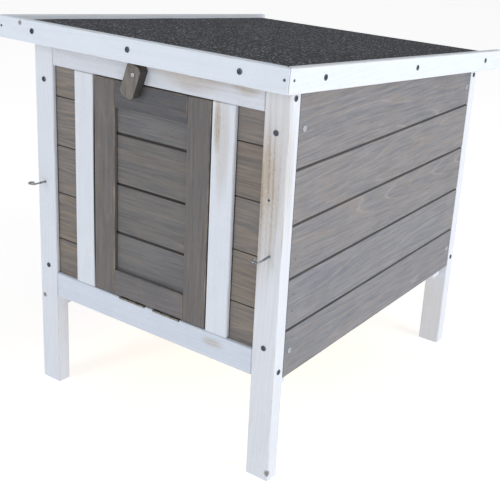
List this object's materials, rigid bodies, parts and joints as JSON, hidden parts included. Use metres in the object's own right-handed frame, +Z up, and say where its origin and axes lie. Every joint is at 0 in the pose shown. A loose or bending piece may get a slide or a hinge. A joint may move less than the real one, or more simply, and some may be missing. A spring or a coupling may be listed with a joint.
{
  "type": "rabbit hutch",
  "caption": "Raised wooden hutch on legs with board sides, a sloping felt roof that lifts at the front, a drop-down ramp door with a turn button, and wire hooks.",
  "frame": {"origin": "on the ground, under the middle of the roof's plan", "axes": "+Z up; +X runs to the right along the front as seen by a person who faces the door; the door and the higher end of the roof face -Y"},
  "size_m": [0.511, 0.6602, 0.6019],
  "materials": {
    "whitewashed_pine": "thin white stain over planed pine",
    "grey_stained_pine": "grey stain over planed pine",
    "bare_pine": "untreated pine",
    "roof_felt": "mineral-surfaced bitumen roofing felt",
    "zinc_steel": "zinc plated"
  },
  "bodies": {
    "cabinet": {"floor_panel": "bare_pine", "front_bottom_rail": "whitewashed_pine", "front_left_batten": "whitewashed_pine", "front_left_leg": "whitewashed_pine", "front_left_panel": "grey_stained_pine", "front_right_batten": "whitewashed_pine", "front_right_leg": "whitewashed_pine", "front_right_panel": "grey_stained_pine", "front_top_rail": "whitewashed_pine", "latch_screw": "zinc_steel", "left_door_hinge_sill_leaf": "zinc_steel", "left_door_post": "whitewashed_pine", "left_floor_bearer": "bare_pine", "left_hook": "zinc_steel", "left_roof_hinge_body_leaf": "zinc_steel", "left_side_board_1": "grey_stained_pine", "left_side_board_2": "grey_stained_pine", "left_side_board_3": "grey_stained_pine", "left_side_board_4": "grey_stained_pine", "left_side_board_5": "grey_stained_pine", "rear_board_1": "grey_stained_pine", "rear_board_2": "grey_stained_pine", "rear_board_3": "grey_stained_pine", "rear_board_4": "grey_stained_pine", "rear_bottom_rail": "whitewashed_pine", "rear_left_batten": "whitewashed_pine", "rear_left_leg": "whitewashed_pine", "rear_right_batten": "whitewashed_pine", "rear_right_leg": "whitewashed_pine", "rear_top_rail": "whitewashed_pine", "right_door_hinge_sill_leaf": "zinc_steel", "right_door_post": "whitewashed_pine", "right_floor_bearer": "bare_pine", "right_hook": "zinc_steel", "right_roof_hinge_body_leaf": "zinc_steel", "right_side_board_1": "grey_stained_pine", "right_side_board_2": "grey_stained_pine", "right_side_board_3": "grey_stained_pine", "right_side_board_4": "grey_stained_pine", "right_side_board_5": "grey_stained_pine"},
    "door": {"left_door_stile": "grey_stained_pine", "right_door_stile": "grey_stained_pine", "bottom_door_rail": "grey_stained_pine", "top_door_rail": "grey_stained_pine", "door_board_1": "grey_stained_pine", "door_board_2": "grey_stained_pine", "door_board_3": "grey_stained_pine", "door_board_4": "grey_stained_pine", "left_door_hinge_door_leaf": "zinc_steel", "right_door_hinge_door_leaf": "zinc_steel"},
    "latch": {"latch_button": "grey_stained_pine"},
    "roof": {"roof_board": "bare_pine", "roof_felt": "roof_felt", "front_fascia": "whitewashed_pine", "left_fascia": "whitewashed_pine", "right_fascia": "whitewashed_pine", "left_roof_hinge_roof_leaf": "zinc_steel", "right_roof_hinge_roof_leaf": "zinc_steel"}
  },
  "joints": [
    {"name": "door_hinge", "type": "hinge", "parent": "cabinet", "child": "door", "pos_m": [0, -0.28438, 0.198], "axis": [1, 0, 0], "range_deg": [0, 126]},
    {"name": "latch_pivot", "type": "hinge", "parent": "cabinet", "child": "latch", "pos_m": [-0.017, -0.29248, 0.547], "axis": [0, 1, 0], "range_deg": [-110, 70]},
    {"name": "roof_hinge", "type": "hinge", "parent": "cabinet", "child": "roof", "pos_m": [0, 0.29382, 0.52594], "axis": [-1, 0, 0], "range_deg": [0, 90]}
  ]
}
